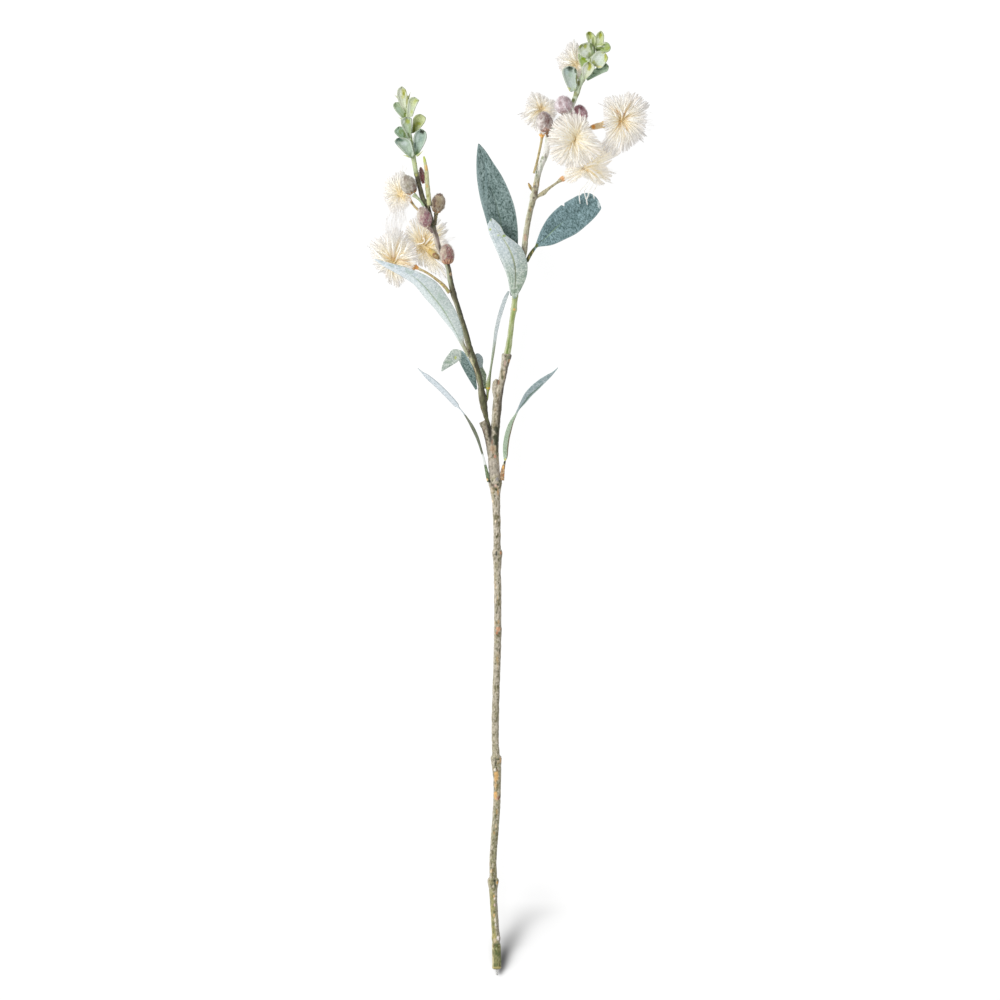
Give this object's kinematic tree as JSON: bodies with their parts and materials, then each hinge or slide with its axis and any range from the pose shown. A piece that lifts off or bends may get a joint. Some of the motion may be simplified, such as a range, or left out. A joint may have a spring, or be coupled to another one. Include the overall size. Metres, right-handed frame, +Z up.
{
  "type": "flowering stem",
  "caption": "Long cut stem that forks into two side branches with brush-like cream blossoms, furry buds, long leaves and small tip leaflets.",
  "frame": {"origin": "middle of the overall box in X and Y, on the surface that the stem lies on", "axes": "+Y along the stem from the cut end to the blossoms, +X to the right with the blossoms away, +Z up from the surface"},
  "size_m": [0.2378, 0.796, 0.054],
  "materials": {
    "bark": "mottled grey-brown bark with raised rings",
    "dark_bark": "dark brown ridged bark",
    "green_bark": "matte pale green with darker streaks",
    "wire": "bare drawn wire",
    "stalk": "matte tan, orange at the cup",
    "floss": "fine silky filaments, cream to yellow at the middle",
    "bud_fur": "velvety, brown to dull purple",
    "leaf_dark": "velvety grey-green, speckled",
    "leaf_pale": "velvety pale grey-green with a green midrib",
    "tip_green": "velvety pale green, olive at the tips"
  },
  "bodies": {
    "root": {"blossom_left_lower": "floss", "blossom_left_rear": "floss", "blossom_left_upper": "floss", "blossom_right_front": "floss", "blossom_right_low": "floss", "blossom_right_outer": "floss", "blossom_right_rear": "floss", "blossom_right_top": "floss", "bud_left_low": "bud_fur", "bud_left_mid": "bud_fur", "bud_left_side": "bud_fur", "bud_left_small": "bud_fur", "bud_left_top": "bud_fur", "bud_right_left": "bud_fur", "bud_right_mid": "bud_fur", "bud_right_rear": "bud_fur", "bud_stalk_left_mid": "dark_bark", "bud_stalk_left_side": "dark_bark", "bud_stalk_left_top": "green_bark", "bud_stalk_right_left": "dark_bark", "bud_stalk_right_mid": "dark_bark", "bud_stalk_right_rear": "dark_bark", "calyx_stalk_left_lower": "stalk", "calyx_stalk_left_rear": "stalk", "calyx_stalk_left_upper": "stalk", "calyx_stalk_right_front": "stalk", "calyx_stalk_right_low": "stalk", "calyx_stalk_right_outer": "stalk", "calyx_stalk_right_rear": "stalk", "calyx_stalk_right_top": "stalk", "leaf_fork_left": "leaf_pale", "leaf_fork_right": "leaf_dark", "leaf_left_folded": "leaf_dark", "leaf_left_long": "leaf_pale", "leaf_left_rear": "leaf_pale", "leaf_right_dark": "leaf_dark", "leaf_right_outer": "leaf_dark", "leaf_right_pale": "leaf_pale", "leaf_right_thin": "leaf_dark", "leaflet_left_tip_front": "tip_green", "leaflet_left_tip_low_left": "tip_green", "leaflet_left_tip_low_right": "tip_green", "leaflet_left_tip_mid_left": "tip_green", "leaflet_left_tip_mid_right": "tip_green", "leaflet_left_tip_top": "tip_green", "leaflet_left_tip_upper_left": "tip_green", "leaflet_left_tip_upper_right": "tip_green", "leaflet_right_tip_front": "tip_green", "leaflet_right_tip_low_front": "tip_green", "leaflet_right_tip_low_left": "tip_green", "leaflet_right_tip_low_right": "tip_green", "leaflet_right_tip_top_pair": "tip_green", "leaflet_right_tip_upper_left": "tip_green", "leaflet_right_tip_upper_right": "tip_green", "left_branch": "dark_bark", "left_side_stalk": "green_bark", "main_stem": "bark", "right_branch": "green_bark", "wire_core": "wire"}
  },
  "joints": []
}
